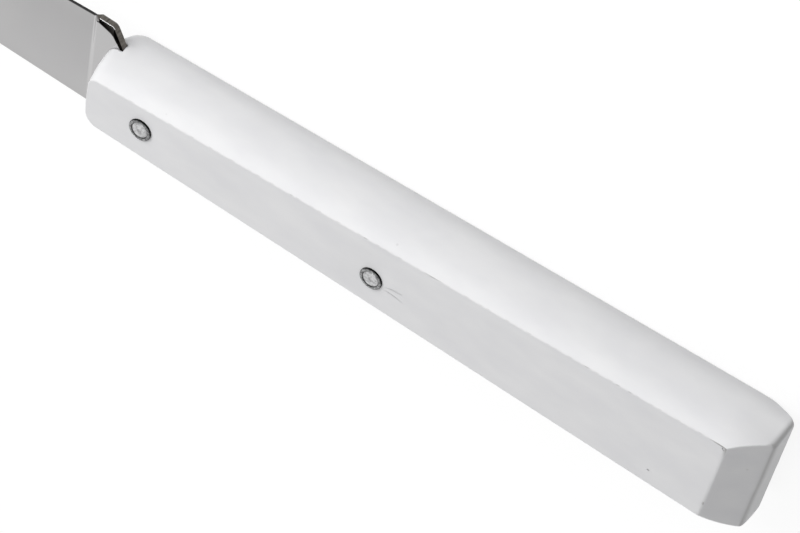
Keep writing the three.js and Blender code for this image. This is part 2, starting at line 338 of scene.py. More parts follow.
def crown(z):
    """Rise of belly and back above the flat sides' edges: an arc across the thickness."""
    return np.sqrt(CROWN_RADIUS**2 - z**2) - (CROWN_RADIUS - CROWN_HEIGHT)


def ridge_at(z):
    """Height of the ridge between the butt's end face and the chamfer on the side of z."""
    return np.where(z > 0, BUTT_RIDGES[1], BUTT_RIDGES[0])


def past_ridge(z):
    """Height past the ridge between the butt's end face and a chamfer, below zero on the face."""
    return np.abs(z) - ridge_at(z)


def chamfered(z):
    """Share of the chamfer at a height: zero on the end face, one at the flat side. The ridge
    between them is a hyperbola, so it is round."""
    past = past_ridge(z)
    rounded = (past + np.hypot(past, BUTT_RIDGE_ROUND)) / 2
    return rounded / (HALF_THICKNESS - ridge_at(z))


def butt_end(z):
    """Where the butt stands, at the belly's height: end face and chamfers."""
    return BUTT_CHAMFER_LENGTH * chamfered(z) - HANDLE_LENGTH - BUTT_REACH


def belly_corner_round(z):
    """Radius of the corner from butt to belly, from its value on the end face to that at the flat
    sides, which it reaches in a straight line within a share of the chamfer."""
    on_face, at_side = BUTT_BELLY_ROUNDS
    return on_face + (at_side - on_face) * np.clip(chamfered(z) / BELLY_ROUND_STRETCH, 0, 1)


def belly_fall(x, z):
    """How far the belly falls away towards the butt: a parabola, deeper on the upper side."""
    past = (BELLY_FALL_LENGTH - HANDLE_LENGTH - x) / BELLY_FALL_LENGTH
    upper = smooth(np.interp(z, BELLY_FALL_BAND, [0, 1]))
    depth = BELLY_FALLS[0] + (BELLY_FALLS[1] - BELLY_FALLS[0]) * upper
    return depth * np.clip(past, 0, 1)**2


def shoulder_meets(belly):
    """Where the slanted front of the kerf meets a belly line: crossing of two straight lines."""
    slant = np.tan(HEEL_SLANT)
    start = -TANG_CLEARANCE / np.cos(HEEL_SLANT) - (belly + HEEL_DEPTH) * slant
    x = start / (1 + BELLY_SLOPE * slant)
    return x, belly + BELLY_SLOPE * x


def settled(outline, z):
    """Outline with the belly's fall, and a bead of paint round the mouth of the kerf, a bell curve
    that rises along the slant of the heel. Both fade out towards the line of the rivets."""
    x, y = outline[..., 0], outline[..., 1]
    on_belly = np.clip(-y / NOSE_BELLY_HEIGHT, 0, 1)
    mouth, _ = shoulder_meets(-NOSE_BELLY_HEIGHT - CROWN_HEIGHT)
    apart = ((x - mouth)**2 + z[:, None]**2) / PAINT_BEAD_REACH**2
    bead = PAINT_BEAD * np.exp(-apart) * on_belly
    fall = belly_fall(x, z[:, None]) * on_belly
    return np.stack([x + bead * np.tan(HEEL_SLANT), y + fall - bead], axis=2)


def handle_outline(z):
    """Outlines of layers parallel to the flat sides, as stretches in order round the handle:
    straight belly and back, nose on a large circle, slanted butt, corners on small circles that
    touch both neighbours. Belly and back are split where the kerf meets them."""
    tilt = np.arctan(BELLY_SLOPE)
    slant = np.tan(BUTT_SLANT)
    belly = -NOSE_BELLY_HEIGHT - crown(z)
    back = BACK_HEIGHT + crown(z)
    butt_low = -BUTT_BELLY_HEIGHT - CROWN_HEIGHT
    nose = np.stack([-NOSE_CROWN * (z / HALF_THICKNESS)**2 - NOSE_RADIUS, 0 * z + NOSE_APEX], axis=1)

    def spot(x, y):
        """Pairs of X and Y, one for each layer."""
        return np.stack([x, y], axis=1)

    nose_round = np.interp(z / HALF_THICKNESS, [-1, 1], NOSE_BELLY_ROUNDS)
    low = belly + nose_round / np.cos(tilt)
    reach = NOSE_RADIUS - nose_round
    square = 1 + BELLY_SLOPE**2
    half = BELLY_SLOPE * (low - NOSE_APEX) - nose[:, 0]
    rest = nose[:, 0]**2 + (low - NOSE_APEX)**2 - reach**2
    x = (np.sqrt(half**2 - square * rest) - half) / square
    belly_nose = spot(x, low + BELLY_SLOPE * x)

    y = back - NOSE_BACK_ROUND
    x = nose[:, 0] + np.sqrt((NOSE_RADIUS - NOSE_BACK_ROUND)**2 - (y - NOSE_APEX)**2)
    back_nose = spot(x, y)

    y = back - BUTT_BACK_ROUND
    x = butt_end(z) + (y - butt_low) * slant + BUTT_BACK_ROUND / np.cos(BUTT_SLANT)
    back_butt = spot(x, y)

    belly_round = belly_corner_round(z)
    low = belly + belly_round / np.cos(tilt)
    x = butt_end(z) + (low - butt_low) * slant + belly_round / np.cos(BUTT_SLANT)
    x = x / (1 - BELLY_SLOPE * slant)
    belly_butt = spot(x, low + BELLY_SLOPE * x)

    down = 0 * z - QUARTER + tilt
    up = 0 * z + QUARTER
    rearward = 0 * z + np.pi - BUTT_SLANT
    nose_low = np.arctan2(*(belly_nose - nose).T[::-1])
    nose_high = np.arctan2(*(back_nose - nose).T[::-1])
    nose_front = np.concatenate([
        arc(belly_nose, nose_round, down, nose_low, NOSE_CORNER_POINTS)[:, :-1],
        arc(nose, NOSE_RADIUS, nose_low, nose_high, NOSE_POINTS)[:, :-1],
        arc(back_nose, NOSE_BACK_ROUND, nose_high, up, NOSE_CORNER_POINTS),
    ], axis=1)
    butt_back = arc(back_butt, BUTT_BACK_ROUND, up, rearward, BUTT_BACK_POINTS)
    butt_belly = arc(belly_butt, belly_round, rearward, down + 2 * np.pi, BUTT_BELLY_POINTS)
    butt = np.concatenate([
        butt_back[:, :-1],
        straight(butt_back[:, -1], butt_belly[:, 0], eased(BUTT_POINTS))[:, :-1],
        butt_belly,
    ], axis=1)

    shoulder = spot(*shoulder_meets(belly))
    saw_reach = np.sqrt((SAW_RADIUS + TANG_CLEARANCE)**2 - (SAW_CENTRE - back)**2)
    tail = spot(TANG_FLOOR_END - saw_reach, back)
    stretches = {
        "belly_rear": straight(butt[:, -1], shoulder, np.linspace(0, 1, BELLY_COLUMNS)),
        "belly_front": straight(shoulder, nose_front[:, 0], eased(MOUTH_POINTS)),
        "nose": nose_front,
        "back_front": straight(nose_front[:, -1], tail, np.linspace(0, 1, BACK_COLUMNS)),
        "back_rear": straight(tail, butt[:, 0], np.linspace(0, 1, BACK_COLUMNS)),
        "butt": butt,
    }
    return {name: settled(line, z) for name, line in stretches.items()}


def kerf_floor(start, end):
    """Bottom of the saw kerf from the belly to the back: slanted front, straight floor, and a
    tail as round as the saw."""
    floor = -TANG_DEPTH - TANG_CLEARANCE
    front = -TANG_CLEARANCE / np.cos(HEEL_SLANT) - (floor + HEEL_DEPTH) * np.tan(HEEL_SLANT)
    corner = np.broadcast_to([front, floor], start.shape)
    turn = np.broadcast_to([TANG_FLOOR_END, floor], start.shape)
    saw = np.broadcast_to([TANG_FLOOR_END, SAW_CENTRE], start.shape)
    last = np.arctan2(*(end - saw).T[::-1])
    return np.concatenate([
        straight(start, corner, eased(KERF_FRONT_POINTS))[:, :-1],
        straight(corner, turn, eased(KERF_FLOOR_POINTS))[:, :-1],
        arc(saw, SAW_RADIUS + TANG_CLEARANCE, 0 * last - QUARTER, last, SAW_POINTS),
    ], axis=1)


def ring_of(*stretches):
    """Closed ring from stretches that follow each other, without their shared ends."""
    return np.concatenate([stretch[:, :-1] for stretch in stretches], axis=1)


def whole_ring(z):
    """Closed rings round the whole handle at the given heights: all stretches of its outline."""
    return ring_of(*handle_outline(z).values())


def inward(ring):
    """Unit normals that point into a closed ring which runs counter-clockwise."""
    along = np.roll(ring, -1, axis=-2) - np.roll(ring, 1, axis=-2)
    along = along / np.linalg.norm(along, axis=-1, keepdims=True)
    return np.stack([-along[..., 1], along[..., 0]], axis=-1)


def sanded_rows(ring_below, ring_top, bottom, top, width):
    """Round edge between the skin and a flat side: each point runs on a parabola that leaves the
    skin and comes in flat, with the sharp corner as its control point."""
    inner = ring_top + inward(ring_top) * width[:, None]
    share = np.linspace(0, 1, SANDED_ROWS)[1:, None, None]
    blend = [(1 - share)**2, 2 * share * (1 - share), share**2]
    flat = blend[0] * ring_below + blend[1] * ring_top + blend[2] * inner
    height = blend[0][:, 0, 0] * bottom + (1 - blend[0][:, 0, 0]) * top
    return at_height(flat, height), inner


def edge_waves(length, side):
    """Unevenness of a sanded edge along its length, from -1 to 1: products of slow and quick
    sine waves, shifted from one side to the other."""
    slow = np.sin(length / SLOW_WAVES[0]) * np.sin(length / SLOW_WAVES[1] + side)
    quick = np.sin(length / QUICK_WAVES[0] + side) * np.sin(length / QUICK_WAVES[1])
    return (slow + quick) / 2


def softer(spots):
    """How much wider the sanded edge is than elsewhere: along the butt, fading out at its corners
    as a soft step."""
    x, y = spots.T
    butt_low = butt_end(np.array([HALF_THICKNESS]))
    butt = butt_low + (y + BUTT_BELLY_HEIGHT + CROWN_HEIGHT) * np.tan(BUTT_SLANT)
    return BUTT_EDGE_SOFTNESS * smooth(1 - (x - butt) / BUTT_EDGE_FADE)


def nicked(spots):
    """How far nicks reach at places on an edge: a bell curve round each nick."""
    nicks = np.array(NICKS)
    places = nicks[:, :2]
    half_length, strength = nicks[:, 2:].T
    gap = np.linalg.norm(spots[:, None] - places, axis=2) / half_length
    return (strength * np.exp(-gap**2)).max(axis=1)


def crack(start, end):
    """Rows of a hair crack: a flat ellipse round it, a lens-shaped mouth between two parabolas,
    and its bottom, which hangs below the middle line as a third one. The middle line bows a little."""
    share = np.linspace(0, 1, CRACK_POINTS)
    there = np.concatenate([share, share[-2:0:-1]])
    swell = 4 * there * (1 - there)
    start, end = np.array(start), np.array(end)
    run = (end - start) / np.linalg.norm(end - start)
    across = np.array([-run[1], run[0]])
    side = np.where(np.arange(len(there)) < len(share), 1, -1)
    half = CRACK_WIDTH / 2
    middle = start + (end - start) * there[:, None] + across * CRACK_BOW * swell[:, None]
    beyond = middle + half * run * (2 * there - 1)[:, None]
    rows = np.stack([
        beyond + across * (side * half * (swell + np.sqrt(swell)))[:, None],
        middle + across * (side * half * swell)[:, None],
        middle,
    ])
    depth = CRACK_DEPTH * np.stack([0 * swell, 0 * swell, swell])
    return np.concatenate([rows, HALF_THICKNESS - depth[:, :, None]], axis=2)


def pit():
    """Rows of a round pit in the paint: a flat ring round it, then rings that shrink to a point
    as they sink on a quarter ellipse."""
    share = np.linspace(0, 1, PIT_ROWS)
    angle = np.linspace(0, 2 * np.pi, PIT_POINTS, endpoint=False)
    way = np.stack([np.cos(angle), np.sin(angle)], axis=1)
    radius = PIT_RADIUS * np.append(PIT_MARGIN, np.cos(QUARTER * share))
    depth = PIT_DEPTH * np.append(0, np.sin(QUARTER * share))
    return at_height(np.array(PIT) + radius[:, None, None] * way, HALF_THICKNESS - depth)


def handle_side(side, kerf_half):
    """One half of the handle: crowned skin from the kerf to the flat side, its sanded edge, the
    flat side round the rivet holes, the holes and the wall of the kerf."""
    edge = HALF_THICKNESS - SANDED_EDGE
    limits = np.arcsin(np.array([kerf_half, edge]) / CROWN_RADIUS)
    heights = CROWN_RADIUS * np.sin(np.linspace(*limits, CROWN_ROWS))
    ridge = ridge_at(side) + BUTT_RIDGE_ROUND * np.linspace(-RIDGE_REACH, RIDGE_REACH, RIDGE_ROWS)
    heights = np.unique(np.concatenate([heights, ridge]))
    rings = whole_ring(side * heights)
    top = whole_ring(np.array([side * HALF_THICKNESS]))[0]
    length = np.cumsum(np.linalg.norm(np.roll(top, -1, axis=0) - top, axis=1))
    width = 1 + EDGE_WAVINESS * edge_waves(length, side) + (side > 0) * nicked(top) + softer(top)
    sanded, inner = sanded_rows(rings[-1], top, edge, HALF_THICKNESS, SANDED_EDGE * width)
    support = inner + inward(inner) * SANDED_EDGE / 2
    wall = np.concatenate([
        at_height(rings, heights),
        sanded,
        at_height(support[None], HALF_THICKNESS),
    ])
    outline = handle_outline(np.array([side * kerf_half]))
    mouth = ring_of(*(outline[name] for name in ("belly_front", "nose", "back_front")))[0]
    floor = kerf_floor(outline["belly_front"][:, 0], outline["back_front"][:, -1])[0]
    wear = [*(crack(*ends) for ends in CRACKS), pit()] if side > 0 else []
    patches = [
        skin(wall),
        plate([support, *(circle(x, HOLE_RADIUS + HOLE_LIP) for x in RIVETS.values()),
               *(rows[0, :, :2] for rows in wear)], HALF_THICKNESS),
        *(skin(rows) for rows in wear),
        plate([np.concatenate([mouth, floor[:0:-1]]),
               *(circle(x, HOLE_RADIUS) for x in RIVETS.values())], kerf_half),
    ]
    for x in RIVETS.values():
        share = np.linspace(0, 1, LIP_ROWS)
        radius = HOLE_RADIUS + HOLE_LIP * np.append((1 - share)**2, 0)
        depth = np.append(HOLE_LIP * share**2, HALF_THICKNESS - kerf_half)
        rims = np.stack([circle(x, r) for r in radius])
        patches.append(skin(at_height(rims, HALF_THICKNESS - depth)))
    mirror = np.array([1, 1, side])
    return [(points * mirror, faces) for points, faces in patches]


def handle_patches():
    """Both halves, and between them the web that the saw left below the kerf."""
    kerf_half = HALF_STOCK + TANG_CLEARANCE
    heights = np.linspace(-kerf_half, kerf_half, WEB_ROWS)
    outline = handle_outline(heights)
    floor = kerf_floor(outline["belly_front"][:, 0], outline["back_front"][:, -1])
    web = ring_of(outline["belly_rear"], floor, outline["back_rear"], outline["butt"])
    return [skin(at_height(web, heights)), *handle_side(1, kerf_half), *handle_side(-1, kerf_half)]


def beside(spots, start, end):
    """Distance of flat places from a straight line between two points."""
    start, end = np.array(start), np.array(end)
    share = np.clip((spots - start) @ (end - start) / np.sum((end - start)**2), 0, 1)
    return np.linalg.norm(spots - start - share[:, None] * (end - start), axis=1)


def worn_edges(points):
    """Thin paint on the sanded edges: patches where a product of three sine waves is high."""
    x, _, z = points.T
    slope = np.clip((HALF_THICKNESS - np.abs(z)) / SANDED_EDGE, 0, 1)
    slow, middle, quick = PATCH_WAVES
    waves = np.sin(x / slow + np.sign(z)) * np.sin(x / middle) * np.sin(x / quick + np.sign(z))
    return PATCH_STRENGTH * 4 * slope * (1 - slope) * np.clip(PATCH_CONTRAST * waves, 0, 1)


def darkened_ridges(points):
    """Darker paint along the butt's two ridges, and painted shade on the corner from its end face to the
    belly: bell curves across each of them."""
    x, y, z = points.T
    past = past_ridge(z)
    from_ridge = past / np.where((z > 0) & (past < 0), RIDGE_DARK_WIDTHS[1], RIDGE_DARK_WIDTHS[0])
    y = y - belly_fall(x, z)
    from_butt = x - butt_end(z) - (y + BUTT_BELLY_HEIGHT + CROWN_HEIGHT) * np.tan(BUTT_SLANT)
    from_belly = y + NOSE_BELLY_HEIGHT + crown(z) - BELLY_SLOPE * x
    on_end = (from_butt < BUTT_BELLY_ROUNDS[0]) & (from_ridge < 1)
    across_corner = (from_butt - from_belly) / CORNER_SHADE_WIDTH
    ridge = np.exp(-from_ridge**2) * (from_butt < BUTT_RIDGE_ROUND)
    # Painted shade on the round corner from the end face to the belly
    corner = np.exp(-across_corner**2) * on_end * (from_belly < BUTT_BELLY_ROUNDS[0])
    return RIDGE_STRENGTH * np.maximum(ridge, corner)


def wear_and_painted_shade(points):
    """How much darker the paint is made: up to one in the pit and in nicks, where the paint is gone, less in
    the cracks, where it is painted shade, on edges where the paint is thin, and on the butt's ridges and its
    corner to the belly, where the corner's share is painted shade; zero elsewhere."""
    spots = points[:, :2]
    depth = HALF_THICKNESS - points[:, 2]
    slope = np.clip(depth / SANDED_EDGE, 0, 1)
    in_crack = np.min([beside(spots, *ends) for ends in CRACKS], axis=0) < CRACK_WIDTH + CRACK_BOW
    in_pit = np.linalg.norm(spots - PIT, axis=1) < 2 * PIT_RADIUS
    on_slope = 4 * slope * (1 - slope)
    strength = np.where(in_crack, CRACK_STRENGTH, 1)
    below = strength * np.clip(depth / PIT_DEPTH, 0, 1)
    sunk = np.where(in_crack | in_pit, below, on_slope * nicked(spots))
    sunk = sunk * (depth < CRACK_DEPTH + WELD)
    return np.maximum.reduce([sunk, worn_edges(points), darkened_ridges(points)])


# Blade

def quarter_round(share):
    """Height of a quarter circle at a share of its radius: one at its start, zero at its end."""
    return np.sqrt(np.clip(1 - np.clip(share, 0, 1)**2, 0, 1))


def spine_at(x):
    """Straight back, then a quarter ellipse down to the tip."""
    turn = (x - BLADE_LENGTH + SPINE_TURN) / SPINE_TURN
    return SPINE - TIP_BELOW_SPINE * (1 - quarter_round(turn))


def edge_at(x):
    """Straight rising edge, then a quarter ellipse up to the tip."""
    tip = SPINE - TIP_BELOW_SPINE
    line = -HEEL_DEPTH + (x - PLUNGE_AT_EDGE) * np.tan(EDGE_RISE)
    turn = (x - BLADE_LENGTH + EDGE_TURN) / EDGE_TURN
    return tip - (tip - line) * quarter_round(turn)


def sections(back, lower, half_back, half_face, half_lower, bevel):
    """Six-cornered sections of the steel: back, face, bevel and lower edge on both sides. The
    bevel is measured up from the lower edge along the line to the back."""
    height = np.linalg.norm(back - lower, axis=1)
    share = np.minimum(bevel / height, BEVEL_LIMIT)[:, None]
    face = lower + (back - lower) * share
    corners = [(back, -half_back), (back, half_back), (face, half_face),
               (lower, half_lower), (lower, -half_lower), (face, -half_face)]
    return np.stack([
        np.concatenate([flat, np.broadcast_to(z, height.shape)[:, None]], axis=1)
        for flat, z in corners
    ], axis=1)


def tang_sections():
    """Tang from its blunt tail, round as the saw, to the shoulder behind the heel."""
    rise = SAW_CENTRE - (SPINE - TANG_TAIL_HEIGHT)
    run = np.sqrt(SAW_RADIUS**2 - rise**2) * np.linspace(1, 0, TAIL_ROWS)
    shoulder = -(HEEL_DEPTH - TANG_DEPTH) * np.tan(HEEL_SLANT)
    x = np.append(TANG_FLOOR_END - run, shoulder - HEEL_BEVEL)
    y = np.append(SAW_CENTRE - np.sqrt(SAW_RADIUS**2 - run**2), -TANG_DEPTH)
    back = np.stack([x, 0 * x + SPINE], axis=1)
    lower = np.stack([x, y], axis=1)
    return sections(back, lower, HALF_STOCK, HALF_STOCK, HALF_STOCK, SHOULDER_BEVEL)


def heel_sections():
    """Heel: slanted edge out of the handle, round corner, short flat up to the plunge. The bevel
    rises from the shoulder to the corner and falls again to the plunge."""
    shoulder = np.array([[-(HEEL_DEPTH - TANG_DEPTH) * np.tan(HEEL_SLANT), -TANG_DEPTH]])
    turn = QUARTER - HEEL_SLANT
    reach = HEEL_CORNER_ROUND * np.tan(turn / 2)
    centre = np.array([[reach, HEEL_CORNER_ROUND - HEEL_DEPTH]])
    angles = np.array([[-QUARTER - turn], [-QUARTER]])
    corner = arc(centre, HEEL_CORNER_ROUND, *angles, HEEL_CORNER_ROWS)
    front = np.array([[PLUNGE_AT_EDGE, -HEEL_DEPTH]])
    lower = np.concatenate([
        straight(shoulder, corner[:, 0], eased(HEEL_ROWS))[:, :-1],
        corner[:, :-1],
        straight(corner[:, -1], front, eased(HEEL_ROWS)),
    ], axis=1)[0]
    share = (lower[:, 0] - shoulder[0, 0]) / (PLUNGE_AT_EDGE - shoulder[0, 0])
    back_x = shoulder[0, 0] + share * (PLUNGE_AT_SPINE - shoulder[0, 0])
    back = np.stack([back_x, 0 * share + SPINE], axis=1)
    bevel = np.interp(lower[:, 0], [shoulder[0, 0], 0, PLUNGE_AT_EDGE],
                      [SHOULDER_BEVEL, HEEL_BEVEL, PLUNGE_BEVEL])
    return sections(back, lower, HALF_STOCK, HALF_STOCK, HALF_HEEL_BOTTOM, bevel)


def ground_sections():
    """Plunge, a soft step from the full stock to the ground face, then the ground blade, which
    thins towards its edge and its tip. The heel's bottom runs out as a wedge in the plunge."""
    run = PLUNGE_LENGTH * np.linspace(0, 1, PLUNGE_ROWS)[1:]
    along = np.sin(QUARTER * np.arange(1, GROUND_ROWS) / (GROUND_ROWS - BLUNT_TIP))

    def placed(start):
        first = start + PLUNGE_LENGTH
        return np.concatenate([start + run, first + (BLADE_LENGTH - first) * along])

    plunge = smooth(0.5 + PLUNGE_STEEPNESS * (run / PLUNGE_LENGTH - 0.5))
    ground = np.append(plunge, np.ones(len(along)))
    wedge = np.append(smooth(run / WEDGE_LENGTH), np.ones(len(along)))
    back_x = placed(PLUNGE_AT_SPINE)
    lower_x = placed(PLUNGE_AT_EDGE)
    back = np.stack([back_x, spine_at(back_x)], axis=1)
    lower = np.stack([lower_x, edge_at(lower_x)], axis=1)
    half_back = HALF_STOCK + (HALF_TIP - HALF_STOCK) * back_x / BLADE_LENGTH
    half_face = HALF_STOCK + (HALF_SHOULDER - HALF_STOCK) * ground
    half_lower = HALF_HEEL_BOTTOM + (HALF_EDGE - HALF_HEEL_BOTTOM) * wedge
    bevel = PLUNGE_BEVEL + (EDGE_BEVEL - PLUNGE_BEVEL) * ground
    return sections(back, lower, half_back, half_face, half_lower, bevel), FACE_BULGE * ground


def broken(corners, bulge=0.0):
    """Breaks the corners of each section: every corner becomes a small parabola between its two
    sides, with one more point on each side that keeps the faces beside it flat. The two faces
    between back and bevel get points of their own and bulge out as parabolas."""
    ways = [np.roll(corners, 1, axis=1) - corners, np.roll(corners, -1, axis=1) - corners]
    lengths = [np.linalg.norm(way, axis=2, keepdims=True) for way in ways]
    steps = [way * np.minimum(BROKEN_EDGE / length, BROKEN_LIMIT) for way, length in zip(ways, lengths)]
    share = np.linspace(0, 1, CORNER_COLUMNS - 2)
    rounds = [corners + steps[0] * (1 - s)**2 + steps[1] * s**2 for s in share]
    keepers = [corners + step * FLAT_KEEPER for step in steps]
    spots = np.stack([keepers[0], *rounds, keepers[1]], axis=2)
    there = np.linspace(0, 1, FACE_COLUMNS + 2)[1:-1, None]
    outward = 4 * there * (1 - there) * np.reshape(bulge, (-1, 1, 1)) * [0, 0, 1]

    def face(near, far, side):
        start, end = spots[:, near, -1:], spots[:, far, :1]
        return start + (end - start) * there + side * outward

    by_corner = [spots[:, corner] for corner in range(corners.shape[1])]
    by_corner.insert(2, face(1, 2, 1))
    return np.concatenate([*by_corner, face(5, 0, -1)], axis=1)


def closed_ends(rings):
    """Adds a last row at each end that lies on one point, the middle of the end ring."""
    ends = [np.broadcast_to(rings[end].mean(axis=0), rings[:1].shape) for end in (0, -1)]
    return np.concatenate([ends[0], rings, ends[1]])


def blade_patches():
    """Tang, heel and ground blade as one skin over their sections. The tang's two faces are
    plates round the rivet holes."""
    tang = broken(tang_sections())
    blade = broken(*ground_sections())
    rings = closed_ends(np.concatenate([tang, broken(heel_sections()), blade]))
    points, faces = skin(rings)
    columns = rings.shape[1]
    grid = faces.reshape(-1, columns, 4)
    kept = np.ones(grid.shape[:2], bool)
    patches = []
    for side, last in ((1, columns // 2 - CORNER_COLUMNS), (-1, columns)):
        strip = np.arange(last - FACE_COLUMNS - 1, last + 1)
        kept[1:len(tang), strip[:-1]] = False
        strip = strip % columns
        loop = np.concatenate([
            tang[:, strip[0]], tang[-1, strip[1:-1]], tang[::-1, strip[-1]], tang[0, strip[-2:0:-1]],
        ])[:, :2]
        holes = [circle(x, HOLE_RADIUS) for x in RIVETS.values()]
        patches.append(plate([loop, *holes], side * HALF_STOCK))
    for x in RIVETS.values():
        rims = np.stack([circle(x, HOLE_RADIUS)] * 2)
        patches.append(skin(at_height(rims, np.array([-HALF_STOCK, HALF_STOCK]))))
    return [(points, grid[kept]), *patches]


def heel_cut_and_reflection(points):
    """One on the heel's bevels, which turns them near black, a painted dark reflection; less on its bottom
    and slanted edge, which stay as the press cut them, and zero on the rubbed edge between them. The wedge
    in the plunge is grey too."""
    x, y, z = points.T
    lean = (PLUNGE_AT_SPINE - PLUNGE_AT_EDGE) / (SPINE + HEEL_DEPTH)
    behind_plunge = x < PLUNGE_AT_EDGE + (y + HEEL_DEPTH) * lean + WELD
    # One on the bevels, which paints a dark reflection on them; CUT_GREY on the press-cut bottom and slanted
    # edge
    cut = np.where(np.abs(z) > HALF_HEEL_BOTTOM, 1, CUT_GREY)
    off_face = np.clip((HALF_STOCK - np.abs(z)) / FACE_MARGIN, 0, 1) * cut
    in_from_corner = (HALF_HEEL_BOTTOM - np.abs(z)) / BROKEN_EDGE
    rubbed = np.clip(RUBBED_EDGE - 2 * np.abs(in_from_corner - 0.5), 0, 1)
    rubbed = rubbed * (y < -HEEL_DEPTH + PLUNGE_BEVEL / 2)
    heel = (off_face - rubbed) * behind_plunge * (y < -TANG_DEPTH + HEEL_BEVEL)
    in_plunge = ~behind_plunge & (x < PLUNGE_AT_EDGE + PLUNGE_LENGTH / 2)
    above = (y - edge_at(x)) / PLUNGE_BEVEL
    wedge = np.where(above < WEDGE_BOTTOM, CUT_GREY, WEDGE_GREY * (above < 1))
    return np.maximum(heel, in_plunge * wedge)


# Rivets

def turned(profile, x):
    """Turns a profile of radius and height about a rivet's axis: one row for each profile point."""
    rims = np.stack([circle(x, radius) for radius in profile[:, 0]])
    return skin(at_height(rims, profile[:, 1]))


def tube_profile():
    """Half of the tube's section, from the bore at mid height to the outer wall: bore, rim rolled
    nearly flat as a shallow parabola, its round outer edge, and the wall."""
    inner = PIN_RADIUS + PIN_CLEARANCE
    share = np.linspace(0, 1, RIM_POINTS)
    outer = HEAD_RADIUS - HEAD_EDGE_ROUND
    crowned = RIVET_TOP - HEAD_CROWN * (2 * share - 1)**2
    rim = np.stack([inner + (outer - inner) * share, crowned], axis=1)
    angle = np.linspace(QUARTER, 0, RIM_EDGE_POINTS)[1:]
    edge = rim[-1] + HEAD_EDGE_ROUND * np.stack([np.cos(angle), np.sin(angle) - 1], axis=1)
    return np.concatenate([[[inner, 0]], rim, edge, [[HEAD_RADIUS, 0]]])


def tube_patches(x):
    """Tube through the handle, the same at both ends."""
    half = tube_profile()
    other = half[::-1][1:] * [1, -1]
    profile = np.concatenate([half, other])
    return [turned(profile, x)]


def pin_patches(x):
    """Pin that fills the tube. Its round-edged face has a centre dimple, a small bell curve."""
    top = RIVET_TOP - PIN_BELOW_RIM
    radius = np.linspace(0, PIN_RADIUS - PIN_ROUND, PIN_POINTS)
    face = top - PIN_DIMPLE * np.exp(-(radius / PIN_DIMPLE_RADIUS)**2)
    angle = np.linspace(QUARTER, 0, PIN_EDGE_POINTS)[1:]
    centre = np.array([PIN_RADIUS - PIN_ROUND, face[-1] - PIN_ROUND])
    edge = centre + PIN_ROUND * np.stack([np.cos(angle), np.sin(angle)], axis=1)
    half = np.concatenate([np.stack([radius, face], axis=1), edge])
    profile = np.concatenate([half, half[::-1] * [1, -1]])
    return [turned(profile, x)]


def rim_painted_shade(points):
    """Painted shade on the rim, for the gap round its wall and the groove at its bore: one on the outer
    wall, a share of it beside the bore, less between.
    """
    x, y, _ = points.T
    radius = np.min([np.hypot(x - place, y) for place in RIVETS.values()], axis=0)
    wall = np.clip(1 - (HEAD_RADIUS - radius) / WALL_SHADE, 0, 1)**2
    bore = np.clip(1 - (radius - PIN_RADIUS - PIN_CLEARANCE) / BORE_SHADE, 0, 1)
    return np.maximum(wall, bore * BORE_SHADE_SHARE)


# Materials

def linear(code):
    """Linear colour of an sRGB hex value."""
    values = np.array([int(code[i:i + 2], 16) for i in (1, 3, 5)]) / 255
    low = values / 12.92
    high = ((values + 0.055) / 1.055)**2.4
    return (*np.where(values <= 0.04045, low, high), 1.0)


def put(tree, kind, inputs=None, stops=(), **settings):
    """Adds a node with its settings. An input that is a socket is linked, any other is set. Stops
    are the places and colours of a ramp."""
    made = tree.nodes.new(kind)
    for field, value in settings.items():
        setattr(made, field, value)
    for place, colour in stops[1:-1]:
        made.color_ramp.elements.new(place).color = colour
    for end in (0, -1)[:len(stops)]:
        made.color_ramp.elements[end].position, made.color_ramp.elements[end].color = stops[end]
    for name, value in (inputs or {}).items():
        if isinstance(value, bpy.types.NodeSocket):
            tree.links.new(value, made.inputs[name])
        else:
            made.inputs[name].default_value = value
    return made


def new_material(name):
    """Material with an empty node tree."""
    material = bpy.data.materials.new(name)
    material.use_nodes = True
    tree = material.node_tree
    tree.nodes.clear()
    return material, tree


def place_in_mm(tree, pitch):
    """Object coordinates divided by a pattern's pitch in millimetres along X, Y and Z."""
    place = put(tree, "ShaderNodeTexCoord")
    scale = [1 / (MM * step) for step in pitch]
    return put(tree, "ShaderNodeMapping", {"Vector": place.outputs["Object"], "Scale": scale}).outputs[0]


